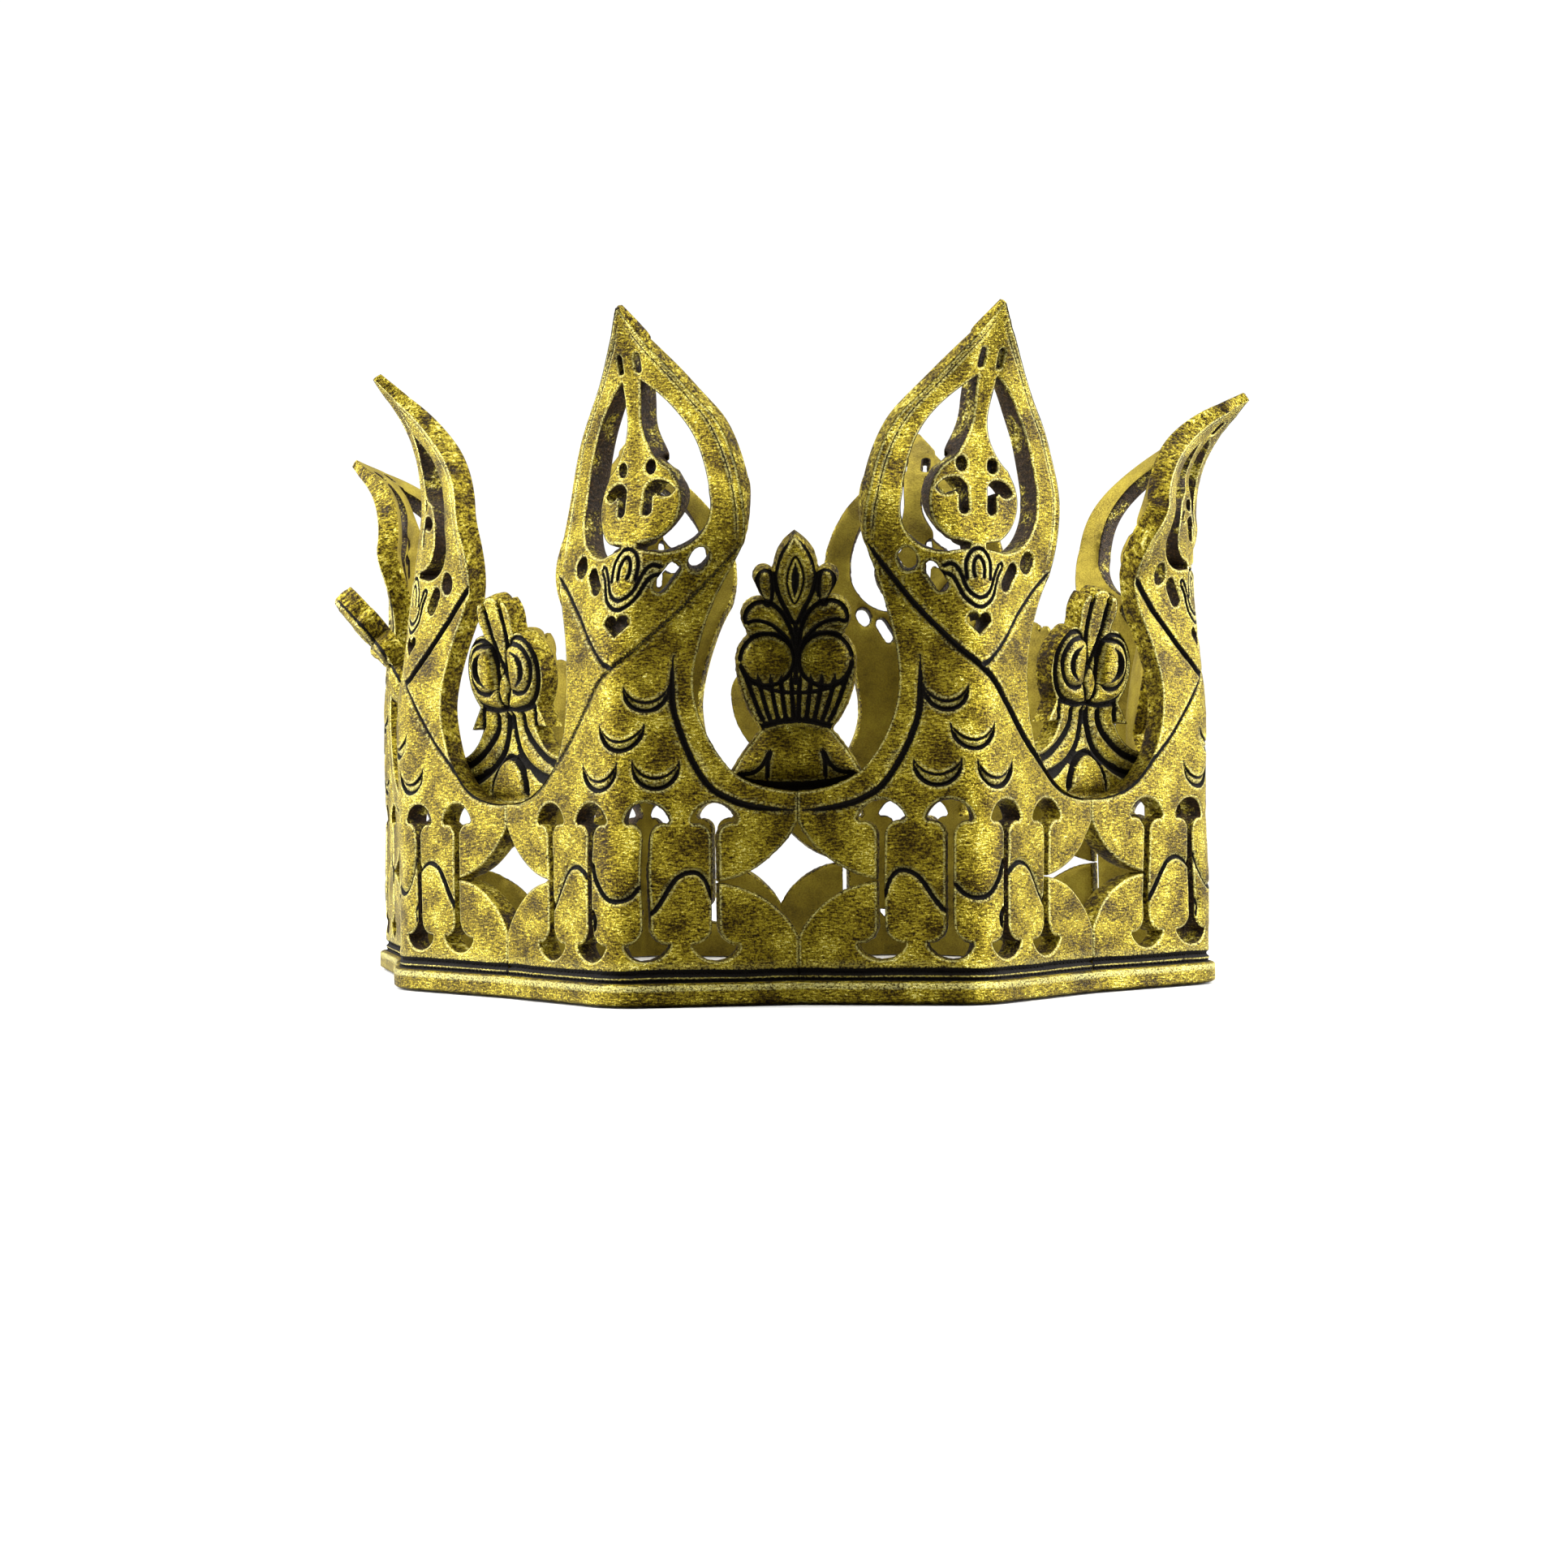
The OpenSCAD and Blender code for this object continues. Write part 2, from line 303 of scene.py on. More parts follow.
def along_path(points, path, reach):
    """For the points near a path: their index, distance, side and place along it from 0 to 1."""
    path = np.array(path, float)
    low, high = path.min(0) - reach, path.max(0) + reach
    near = np.flatnonzero(((points > low) & (points < high)).all(1))
    a, b = path[:-1], path[1:]
    ab = b - a
    length = np.linalg.norm(ab, axis=1)
    before = np.concatenate([[0], np.cumsum(length)])
    ap = points[near][:, None] - a[None]
    t = np.clip((ap * ab).sum(2) / (length ** 2 + 1e-12), 0, 1)
    gap = np.linalg.norm(ap - t[..., None] * ab, axis=2)
    best = gap.argmin(1)
    pick = np.arange(len(near))
    side = ab[best, 0] * ap[pick, best, 1] - ab[best, 1] * ap[pick, best, 0]
    place = (before[best] + t[pick, best] * length[best]) / before[-1]
    return near, gap[pick, best], side, place


def carved(points, path, depth, ink, steep, bevel, taper):
    """A knife cut: steep on its right, bevelled on its left, dark at the bottom, with pointed ends.
    Gives each point's depth, darkness and a painted highlight along its rim."""
    near, gap, side, place = along_path(points, path, max(steep, bevel, ink) + 0.6)
    fade = np.ones(len(near))
    if taper:
        fade = np.minimum(rise_between(0, taper, place), rise_between(0, taper, 1 - place))
    width = np.where(side > 0, bevel, steep) * (0.4 + 0.6 * fade)
    inked = 1.25 * ink * (0.25 + 0.75 * fade)
    cut = np.zeros(len(points))
    dark = np.zeros(len(points))
    rim = np.zeros(len(points))
    cut[near] = depth * (0.15 + 0.85 * fade) * np.clip(1 - gap / width, 0, 1) ** 1.2
    dark[near] = np.clip((inked + 0.14 - gap) / 0.28, 0, 1)
    rim[near] = np.clip(1 - np.abs(gap - inked - 0.3) / 0.25, 0, 1) * (0.3 + 0.7 * fade)
    return cut, dark, rim


def cuts(*rows):
    """Knife cuts from rows of: paths, depth, ink, steep, bevel and taper."""
    return [
        dict(path=path, depth=depth, ink=ink, steep=steep, bevel=bevel, taper=taper)
        for paths, depth, ink, steep, bevel, taper in rows for path in paths
    ]


def padded(points, path, height, round_off):
    """A shape that swells up from its closed outline."""
    near, gap, _, _ = along_path(points, np.concatenate([path, path[:1]]), round_off + 0.5)
    depth = np.full(len(points), 9.0)
    depth[near] = gap
    swell = 1 - (1 - np.clip(depth / round_off, 0, 1)) ** 2
    swell = np.where(inside(points, [np.array(path)]), swell, 0)
    return height * swell


# Bent and folded sheets -----------------------------------------------------------------------

class Bend:
    """How a sheet leans and curls: its tilt from upright, in degrees, at heights along it."""

    def __init__(self, heights, tilts):
        self.v = np.linspace(-5, 160, 1651)
        tilt = np.radians(np.interp(self.v, heights, tilts))
        step = self.v[1] - self.v[0]
        zero = int(round(5 / step))
        self.across = np.cumsum(np.sin(tilt)) * step
        self.up = np.cumsum(np.cos(tilt)) * step
        self.across -= self.across[zero]
        self.up -= self.up[zero]

    def out(self, v):
        return np.interp(v, self.v, self.across)

    def rise(self, v):
        return np.interp(v, self.v, self.up)


PANEL_HALF = 38
PANEL_T = 5
FINIAL_T = 4.5
RING_SHIFT = np.array([3.6, 2.2])
RIDGES = np.array([
    (-37.5, -87.5), (37.5, -87.5), (92, -35), (97, 39.5),
    (34, 80.5), (-41, 83), (-104, 43), (-88.4, -31.2),
]) + RING_SHIFT
PRONG_NAMES = [
    "front_left", "front_right", "right_front", "right_rear",
    "rear_right", "rear_left", "left_rear", "left_front",
]
FINIAL_NAMES = [
    "lotus_front", "scroll_front_right", "lotus_right", "scroll_rear_right",
    "lotus_rear", "scroll_rear_left", "lotus_left", "scroll_front_left",
]


def unit(v):
    return v / np.linalg.norm(v)


def chord(i):
    return RIDGES[(i + 1) % 8] - RIDGES[i % 8]


def valley_angle(i):
    return math.acos(np.linalg.norm(chord(i)) / 2 / PANEL_HALF)


def valley(i):
    c = unit(chord(i))
    depth = PANEL_HALF * math.sin(valley_angle(i))
    return (RIDGES[i % 8] + RIDGES[(i + 1) % 8]) / 2 + depth * np.array([-c[1], c[0]])


def folded(u, softness):
    """Distance from the fold, with the fold itself rounded off."""
    a = np.abs(u)
    return np.where(a < softness, (u * u + softness * softness) / (2 * softness), a)


# How far from its line a fold is rounded, in the prongs and in the finials
RIDGE_SOFTNESS = 6
FINIAL_SOFTNESS = 3
# Heights along the leather at which a flame starts and ends
FLAME_START = 96
TIP = 143
# The share of its thickness that the leather loses by the tip
TIP_THINNING = 0.55
# Each prong was bent by hand, and no two flames are alike. For each prong, in the order of
# PRONG_NAMES: how far the flame's right and left halves open out from the panel's fold, how far
# the flame sways to the right at its middle and at its tip, its lean, the tilt of its tip, and
# the height along the leather at which the tip ends. Angles are in degrees.
FLAMES = [
    (35, -3, 4.1, 4.9, -4.5, 34, 140.4),
    (6, 31, 1.3, 2.6, -4.5, 34, 141.4),
    (21, 32, 0.0, 0.0, -6.4, 60, 134.2),
    (20, 20, 0.5, 0.0, -4.5, 44, 138),
    (8, 28, 0.0, 1.0, -4.5, 36, 141),
    (28, 8, -1.0, 0.0, -4.5, 34, 142),
    (15, 20, 0.0, 0.0, -4.5, 56, 132),
    (18, -8, 0.0, 0.0, -7.6, 42, 138.6),
]


def prong_face(i):
    """The outer face of prong i, from u and v to x, y and z. The lotus side is at positive u."""
    ridge = RIDGES[i]
    to_right = unit(valley(i) - ridge)
    to_left = unit(valley(i - 1) - ridge)
    inward = unit(to_right + to_left)
    across = np.array([inward[1], -inward[0]])
    angle = math.asin(to_right @ inward)
    side = 1 if i % 2 == 0 else -1
    open_right, open_left, sway, tip_sway, lean, tilt, tip = FLAMES[i]
    bend = Bend([58, 66, 103.5, tip - 4], [0, lean, lean, tilt])
    shorten = (tip - FLAME_START) / (TIP - FLAME_START)

    def face(u, v):
        u = side * u
        opening = np.radians(np.where(u > 0, open_right, open_left))
        opening = opening * rise_between(80, 106, v) * rise_between(0, 5, np.abs(u))
        theta = angle - opening
        swing = sway * rise_between(66, 106, v) + (tip_sway - sway) * rise_between(110, TIP, v)
        w = np.where(v > FLAME_START, FLAME_START + (v - FLAME_START) * shorten, v)
        x = u * np.cos(theta) + swing
        y = folded(u, RIDGE_SOFTNESS) * np.sin(theta) - bend.out(w)
        calm = rise_between(PANEL_HALF, 30, np.abs(u)) * rise_between(8, 20, v)
        y = y + 0.45 * calm * clouds(u, v, 19, 40 + i)
        plan = ridge + x[:, None] * across + y[:, None] * inward
        return np.column_stack([plan, bend.rise(w)])

    return face


def mitre(i):
    """How far the edges of panel i run on for each millimetre of depth, at positive and negative u."""
    after, before = math.tan(valley_angle(i)), math.tan(valley_angle(i - 1))
    return (after, before) if i % 2 == 0 else (before, after)


def run_on(u, seam):
    """How far the leather at u runs on for each millimetre of depth, given its mitres."""
    return np.sign(u) * np.where(u > 0, seam[0], seam[1]) * rise_between(30, 37.9, np.abs(u))


def finial_face(i, bend, slide):
    """The outer face of the finial in valley i, which lies against the backs of its panels."""
    psi = valley_angle(i)
    across = unit(chord(i))
    inward = np.array([-across[1], across[0]])
    foot = valley(i) + inward * PANEL_T / math.cos(psi) + slide * across

    def face(u, v):
        x = u * math.cos(psi)
        y = -folded(u, FINIAL_SOFTNESS) * math.sin(psi) - bend.out(v)
        plan = foot + x[:, None] * across + y[:, None] * inward
        return np.column_stack([plan, bend.rise(v)])

    return face


def set_off(face, u, v, depth):
    """Points at a depth behind a face."""
    nudge = 0.04
    du = face(u + nudge, v) - face(u - nudge, v)
    dv = face(u, v + nudge) - face(u, v - nudge)
    normal = np.cross(du, dv)
    normal /= np.linalg.norm(normal, axis=1, keepdims=True)
    spot = face(u, v)
    if (normal[:, :2] * spot[:, :2]).sum() < 0:
        normal = -normal
    return spot - normal * depth[:, None]


SHARP_CORNER = 48
# Depths of the rows of points down a cut edge, as shares of the thickness
WALL_ROWS = (0.05, 0.16, 0.36, 0.6, 0.82, 0.95, 1.0)
# How far each row stands back from the outline: the edge bulges a little, and is round at the back
WALL_BACK = (-0.05, -0.1, -0.12, -0.1, -0.04, 0.06, 0.3)


def relief(pattern, rng, seed, shares):
    """How far the carved face stands out at each point, how dark it is, and how much painted highlight it
    has beside its cuts and edges.
    """
    u, v = pattern.points.T
    cut, dark, rub = np.zeros((3, len(u)))
    for k, (depth, ink, rim) in enumerate(pattern.strokes):
        drawn = rng.uniform(0.85, 1.15)
        share = shares.get(k, drawn)
        cut = np.maximum(cut, depth * share)
        dark = np.maximum(dark, ink * min(1, share * 1.4))
        rub = np.maximum(rub, rim * min(1, share))
    height = sum(pattern.pads) - cut
    # The face is worn down beside its edges, and a little uneven all over
    edge = pattern.edge_distance
    height -= 0.32 * np.clip(1 - edge / 0.62, 0, 1) ** 2
    height += 0.05 * clouds(u, v, 2.2, seed + 1) + 0.03 * clouds(u, v, 1.1, seed + 2)
    # A thin painted highlight runs just inside the edges
    corner = np.clip(1 - np.abs(edge - 0.3) / 0.32, 0, 1)
    return height, dark, np.maximum(rub, corner) * (1 - dark)


def attach(mesh, **layers):
    """Stores values on a mesh's points, under the names that the materials read."""
    for name, values in layers.items():
        values = np.asarray(values, np.float32)
        kind, field = ("FLOAT_VECTOR", "vector") if values.ndim == 2 else ("FLOAT", "value")
        attribute = mesh.attributes.new(name, kind, "POINT")
        attribute.data.foreach_set(field, values.ravel())


def sheet_object(name, pattern, face, thickness, seed, seam=(0, 0), shares=None, thin=0.0):
    """A solid sheet with a carved face, rough cut edges and a plain back."""
    rng = np.random.default_rng(seed)
    u, v = pattern.points.T
    count = len(u)
    height, dark, rub = relief(pattern, rng, seed, shares or {})

    def thick(v):
        return thickness * (1 - thin * rise_between(119, TIP, v))

    def placed(u, v, depth):
        sway = 0.22 * rise_between(37.6, 33, np.abs(u)) * rise_between(2, 9, v)
        swayed_u = u + sway * clouds(u, v, 9, seed + 3) + depth * run_on(u, seam)
        swayed_v = v + sway * clouds(u, v, 9, seed + 4)
        return set_off(face, swayed_u, swayed_v, depth)

    # The walls of the cut edges, row by row. Rows at the seams and the base stay in line.
    lengths = [len(a) for a in pattern.loops]
    edge_count = sum(lengths)
    edge_u, edge_v = u[:edge_count], v[:edge_count]
    normal_u, normal_v = np.concatenate([across_edge(a) for a in pattern.loops]).T
    held = (np.abs(edge_u) > PANEL_HALF - 0.1) | (edge_v < 0.05)
    starts = np.cumsum([0, *lengths])
    follow = np.concatenate([start + np.roll(np.arange(n), -1) for start, n in zip(starts, lengths)])
    verts = [placed(u, v, -height)]
    flats = [np.column_stack([u, v, np.zeros(count)])]
    quads = []
    above = np.arange(edge_count)
    for k, (row, back) in enumerate(zip(WALL_ROWS, WALL_BACK)):
        rough = 0.09 * rng.uniform(-1, 1, edge_count)
        rough += 0.1 * clouds(edge_v * 2 + row * 40, edge_u * 2, 1.6, seed + 5)
        step = np.where(held, 0, back + (rough if 0.1 < row < 0.9 else 0))
        wall_u, wall_v = edge_u + normal_u * step, edge_v + normal_v * step
        verts.append(placed(wall_u, wall_v, row * thick(wall_v)))
        flats.append(np.column_stack([edge_u, edge_v, row * thick(wall_v)]))
        below = count + k * edge_count + np.arange(edge_count)
        quads.append(np.column_stack([above, below, below[follow], above[follow]]))
        above = below
    walls_end = count + len(WALL_ROWS) * edge_count

    back_u, back_v = pattern.back_points[edge_count:].T
    back_depth = thick(back_v) + 0.15 * clouds(back_u, back_v, 6, seed + 6)
    verts.append(placed(back_u, back_v, back_depth))
    flats.append(np.column_stack([back_u, back_v, np.full(len(back_u), thickness)]))
    back_index = np.concatenate([above, walls_end + np.arange(len(back_u))])
    parts = [pattern.triangles, np.concatenate(quads), back_index[pattern.back_triangles][:, ::-1]]
    polygons = [polygon for part in parts for polygon in part.tolist()]
    mesh = bpy.data.meshes.new(name)
    mesh.from_pydata((np.concatenate(verts) * MM).tolist(), [], polygons)
    mesh.polygons.foreach_set("material_index", np.repeat([0, 1, 2], [len(part) for part in parts]))

    # The brush reached the walls of the outline, and hardly went into the holes
    gilt = np.zeros(walls_end + len(back_u))
    reached = np.where(np.arange(edge_count) < lengths[0], 1, 0.2)
    gilt[count:walls_end] = np.tile(reached, len(WALL_ROWS))
    plain = np.zeros(len(gilt) - count)
    attach(mesh, flat=np.concatenate(flats) + [seed * 37 % 101, seed * 53 % 97, 0],
           ink=np.append(dark, plain), rub=np.append(rub, plain), gilt=gilt)
    return finished(name, mesh)


def finished(name, mesh):
    """An object from a closed mesh, with outward faces and smooth shading but for sharp corners."""
    bm = bmesh.new()
    bm.from_mesh(mesh)
    bmesh.ops.recalc_face_normals(bm, faces=bm.faces)
    bm.to_mesh(mesh)
    bm.free()
    mesh.shade_smooth()
    mesh.set_sharp_from_angle(angle=math.radians(SHARP_CORNER))
    obj = bpy.data.objects.new(name, mesh)
    bpy.context.scene.collection.objects.link(obj)
    return obj


# The prong's pattern --------------------------------------------------------------------------

# Arcs beside a seam are drawn as far as this, and cut off at the panel's edge
SEAM = 39.5


def prong_outline():
    foot = [[(PANEL_HALF, 0)], short_of(arc((SEAM, 8.6), (32.7, 20.3), (21.8, 24.5)), PANEL_HALF)]
    tip = arc((15.5, 121.7), (8.2, 130.8), (3.3, 137.5))
    lotus_side = [
        *foot,
        short_of(arc((21.8, 25), (32.7, 30), (SEAM, 41.2)), PANEL_HALF),
        short_of(arc((SEAM, 42.9), (30.5, 44), (25, 47)), PANEL_HALF),
        arc((24.5, 47.5), (19.2, 55.5), (17, 68)),
        arc((17.2, 70), (19.4, 81), (23.8, 92.5)),
        arc((23.8, 92.5), (24, 105), (16.5, 120.5)),
        tip,
    ]
    scroll_side = [
        *foot,
        short_of(arc((21.8, 25), (32.7, 29.8), (SEAM, 39.6)), PANEL_HALF),
        short_of(arc((SEAM, 40.9), (26, 43.5), (19, 50)), PANEL_HALF),
        arc((18.5, 50.8), (16, 58.5), (15.6, 67)),
        arc((15.8, 69), (18.2, 77.5), (23, 87)),
        arc((23, 87), (24, 105), (16.5, 120.5)),
        tip,
    ]
    return loop(*lotus_side, [(0.3, 142.8), (-0.3, 142.8)], *[left(p) for p in scroll_side[::-1]])


def frieze_slot(x):
    """One slot of the pierced frieze: a narrow stem that widens at both ends."""
    stem = 0.8
    return loop(
        arc((5, 37.2), (0, 41), (-5, 37.2)),
        arc((-4.4, 36.5), (-1.9, 36), (-stem, 34)),
        arc((-stem, 15.5), (-1.9, 13.2), (-4.8, 12.2)),
        arc((-4.8, 11.6), (0, 8.7), (4.8, 11.6)),
        arc((4.8, 12.2), (1.9, 13.2), (stem, 15.5)),
        arc((stem, 34), (1.9, 36), (4.4, 36.5)),
    ) + [x, 0]


def prong_holes():
    right = [
        frieze_slot(7.2),
        frieze_slot(21.2),
        loop(
            arc((2.4, 127), (12.2, 117.5), (17.3, 104)),
            arc((17.3, 102), (14.5, 93.5), (7, 90.6)),
            [(2, 91.5), (2, 92.7)],
            arc((6, 93.2), (11, 99.5), (9.5, 106.5)),
            arc((8.5, 108), (3.2, 113.5), (1.9, 121)),
        ),
        loop(pill((2.3, 129.3), (2.3, 132.4), 0.65)),
        loop(pill((3.9, 108.4), (3.9, 108.9), 1.4)),
        loop(
            arc((2.3, 99.6), (3.5, 98.4), (4.7, 99.6)),
            [(4.7, 102.2)],
            arc((5.6, 103), (7.4, 102.1), (9.3, 102.7)),
            arc((9.8, 103.4), (7.5, 105.4), (4, 105.6)),
            [(3, 104.9), (2.4, 104.1)],
        ),
        loop(pill((14.7, 88.8), (15.2, 89.8), 1.9)),
        loop(pill((8.2, 84.2), (10.3, 87.4), 1.5)),
    ]
    heart = loop(
        arc((3.2, 76.6), (1.9, 78.4), (0, 77.2)),
        left(arc((3.2, 76.6), (1.9, 78.4), (0, 77.2))),
        [(0, 74)],
    )
    return right + [left(hole) for hole in right] + [heart]


def crescent(u, tips, inner, outer, half):
    """The two cuts of a crescent, which meet in points at its tips."""
    return cuts(
        ([arc((u - half, tips), (u, outer), (u + half, tips))], 0.85, 0.34, 0.35, 1.3, 0.2),
        ([arc((u + half, tips), (u, inner), (u - half, tips))], 0.5, 0.24, 0.3, 0.6, 0.2),
    )


# The place of the long diagonal line in the list of strokes
LONG_LINE = 0


def prong_strokes():
    big_arc = spline([
        (12.7, 70), (13, 60), (14.7, 54), (17, 49), (20.5, 44), (25, 41.2), (30, 39.7), (37, 39),
    ])
    long_line = spline([
        (23.5, 92.6), (18, 86), (14, 81), (10, 76.5), (5, 71.5), (0, 68), (-4, 65), (-8, 60.5),
        (-13, 54.5), (-17.5, 50.3), (-21, 47), (-25, 43.8), (-30, 41.8), (-38, 40.6),
    ])
    short_line = spline([(-23, 88), (-18, 84), (-13, 79), (-8, 73.5), (-3, 69), (0, 68)])
    crescents = [
        *crescent(7.5, 64, 60.7, 59, 4.6), *crescent(1.7, 56.4, 53, 51.2, 5.3),
        *crescent(-4.2, 48.8, 45.2, 43.4, 5.2), *crescent(9.4, 49, 45.8, 43.7, 4.8),
    ]
    # The wavy stem that runs behind the frieze slots
    waves = [spline(wave) for wave in (
        [(-20.7, 18.5), (-18.5, 21.5), (-15, 26.6), (-12, 28), (-9.5, 27.2), (-7.6, 25.5)],
        [(-6.4, 29), (-4.8, 25), (-2, 21.8), (1, 21), (4, 21.8), (6.4, 24.3)],
        [(7.8, 18), (10, 20.6), (13.5, 25.6), (17, 26.8), (19.2, 25), (20.6, 21)],
        [(-6.6, 19), (-5.6, 17.2), (-6, 15)],
        [(20.6, 21), (21.6, 24.5), (21.4, 28)],
    )]
    # The arched stud and the curl under it
    studs = [spline(stud, 0.4) for stud in (
        [(-2.9, 84.8), (-2.9, 88.5), (-1.5, 91), (0.3, 91.6), (2, 90.8), (3.1, 88.5), (3, 85)],
        [(-1.2, 85.2), (-1.3, 87.8), (-0.4, 89.6), (0.5, 89.8), (1.3, 88.6), (1.4, 86.6), (0.9, 85.4)],
        [(-6.7, 87.6), (-5.2, 85.6), (-3.5, 81.4), (0, 79.5), (3.5, 81.5), (5.8, 85.6), (8.3, 86.6)],
        [(-5.7, 88.6), (-4.2, 86), (-2.7, 82.7), (0, 81.4), (2.8, 83), (4.5, 86.8), (6, 88.2),
         (8, 87.7)],
        [(-6.7, 87.6), (-6.5, 88.4), (-5.7, 88.6)],
    )]
    # The bevel just inside the flame's outer edge, on both sides
    flames = [spline(flame) for flame in (
        [(22.3, 93.5), (22.6, 100), (21.6, 107), (18.8, 114), (15, 120), (9, 127.6), (4, 134),
         (1.2, 139)],
        [(-21.8, 90), (-22.7, 98), (-22, 106), (-19, 114), (-15, 120), (-9, 127.6), (-4, 134),
         (-1.2, 139)],
    )]
    above_rim = [np.array([(u, v) for u in np.linspace(-PANEL_HALF, PANEL_HALF, 120)])
                 for v in (6.4, 4.9)]
    return [
        *cuts(
            ([long_line], 0.9, 0.5, 0.5, 1.5, 0.05),
            ([short_line], 0.9, 0.5, 1.4, 0.5, 0.05),
            ([big_arc], 1.0, 0.52, 1.5, 0.5, 0.16),
        ),
        *crescents,
        *cuts(
            (waves, 0.75, 0.36, 0.4, 1.3, 0.04),
            (studs, 0.6, 0.32, 0.45, 0.45, 0.02),
            (flames, 0.22, 0.06, 0.7, 0.7, 0.1),
            (above_rim[:1], 0.9, 0.62, 0.7, 0.8, 0),
            (above_rim[1:], 0.5, 0.3, 0.4, 0.4, 0),
        ),
    ]


# The finials' patterns ------------------------------------------------------------------------

def both(paths):
    """Paths on the right, and their mirror images."""
    return list(paths) + [left(p) for p in paths]


def closed(path):
    """A path that ends where it starts."""
    return np.append(path, path[:1], 0)


def lotus_pattern():
    half = [
        arc((0, 40.5), (8, 41.4), (14.5, 44.8)),
        [(16.3, 48.2), (14.8, 48.4), (13.2, 46.8)],
        arc((13, 47), (9.8, 52.2), (7, 55.6)),
        arc((7.2, 56.2), (10.2, 60.8), (11.9, 67.2)),
        arc((11.9, 68), (11.4, 71.6), (9.4, 74.2)),
        arc((9.6, 75.4), (10.8, 78), (6.4, 82)),
        arc((7.8, 84.5), (7.6, 87.6), (4.3, 87.6)),
        arc((4, 88.2), (2.8, 92), (0, 95.4)),
    ]
    outline = loop(*half, *[left(p) for p in half[::-1]])
    turns = np.linspace(0, 2 * math.pi, 60)[:-1]
    orb = [(6 + 5.5 * math.cos(a), 69.7 + 5.4 * math.sin(a)) for a in turns]
    centre_petal = spline([
        (0, 95.8), (2.6, 92.4), (4.2, 87.6), (3.5, 83.6), (1.9, 80.2), (0, 77.2),
        (-1.9, 80.2), (-3.5, 83.6), (-4.2, 87.6), (-2.6, 92.4),
    ], 0.4, closed=True)
    almond = spline([
        (0, 91.6), (1.7, 88), (1.5, 84.6), (0, 81.6), (-1.5, 84.6), (-1.7, 88),
    ], 0.4, closed=True)
    side_petal = spline([
        (4.9, 82.2), (4.8, 85.6), (5.4, 88), (7.2, 88.2), (8, 86), (7.2, 83), (6, 81.2),
    ], 0.4, closed=True)
    upper_leaf = spline([
        (0.5, 72.2), (1.1, 76), (2.9, 79.6), (6, 81.9), (8.8, 81.3), (10.5, 79), (10.2, 77.4),
        (8, 77.8), (5, 76.9), (2.4, 74.6),
    ], 0.4, closed=True)
    under_leaf = spline([
        (2.6, 73.4), (5, 75.8), (7.8, 76.8), (10, 76.4), (9.2, 75.3), (6.6, 75), (4.4, 74.2),
    ], 0.4, closed=True)
    dome = loop(
        arc((13.4, 46.4), (9.8, 51.8), (7, 55.3)), arc((7, 55.3), (0, 56.4), (-7, 55.3)),
        left(arc((13.4, 46.4), (9.8, 51.8), (7, 55.3))), arc((-13.4, 46.4), (0, 44.6), (13.4, 46.4)),
    )
    pads = [dict(path=np.array(centre_petal), height=1.5, round_off=2.4)]
    for path, height, width in (
        (orb, 2.6, 4.8), (side_petal, 1.2, 1.6), (upper_leaf, 1.7, 2.4), (under_leaf, 0.5, 0.9),
    ):
        pads += [dict(path=np.array(p), height=height, round_off=width) for p in both([path])]
    pads.append(dict(path=dome, height=2.2, round_off=4.5))
    outlines = [closed(p) for p in (centre_petal, *both([orb, side_petal, upper_leaf]))]
    # The ribs of the basket fan out as they rise
    ribs = []
    for low, high in ((0.4, 0.9), (1.9, 3.2), (3.4, 5.6), (5, 8.2), (6.4, 10.6)):
        ribs += both([spline([(low, 56.6), (low + 0.45 * (high - low), 60.4), (high, 66.6)])])
    wings = both([spline([(12.5, 46.4), (9, 46.8), (7, 48.6), (5.6, 51.4)]),
                  spline([(5.6, 51.4), (6.2, 48.4), (6, 45.2)])])
    strokes = cuts(
        ([*outlines, spline([(0, 64.5), (0, 72), (0, 77)])], 0.7, 0.42, 0.6, 0.6, 0.03),
        ([closed(almond)], 0.5, 0.2, 0.35, 0.5, 0),
        ([spline([(0, 90.2), (0, 83)])], 0.9, 0.6, 0.9, 0.9, 0.35),
        (ribs, 0.95, 0.42, 0.7, 0.9, 0.12),
        ([arc((-11.6, 66.4), (0, 62.8), (11.6, 66.4))], 0.5, 0.3, 0.5, 0.5, 0.1),
        ([arc((-7.6, 56), (0, 57.2), (7.6, 56))], 0.9, 0.5, 0.7, 0.7, 0),
        (wings, 0.8, 0.4, 0.7, 0.7, 0.1),
        # The black arc under the dome is painted shadow, where the finial dips behind the panels
        ([arc((-14, 45.6), (0, 43.4), (14, 45.6))], 0.9, 1.0, 1.2, 1.2, 0.1),
    )
    return Pattern(merged(outline, []), strokes, pads)


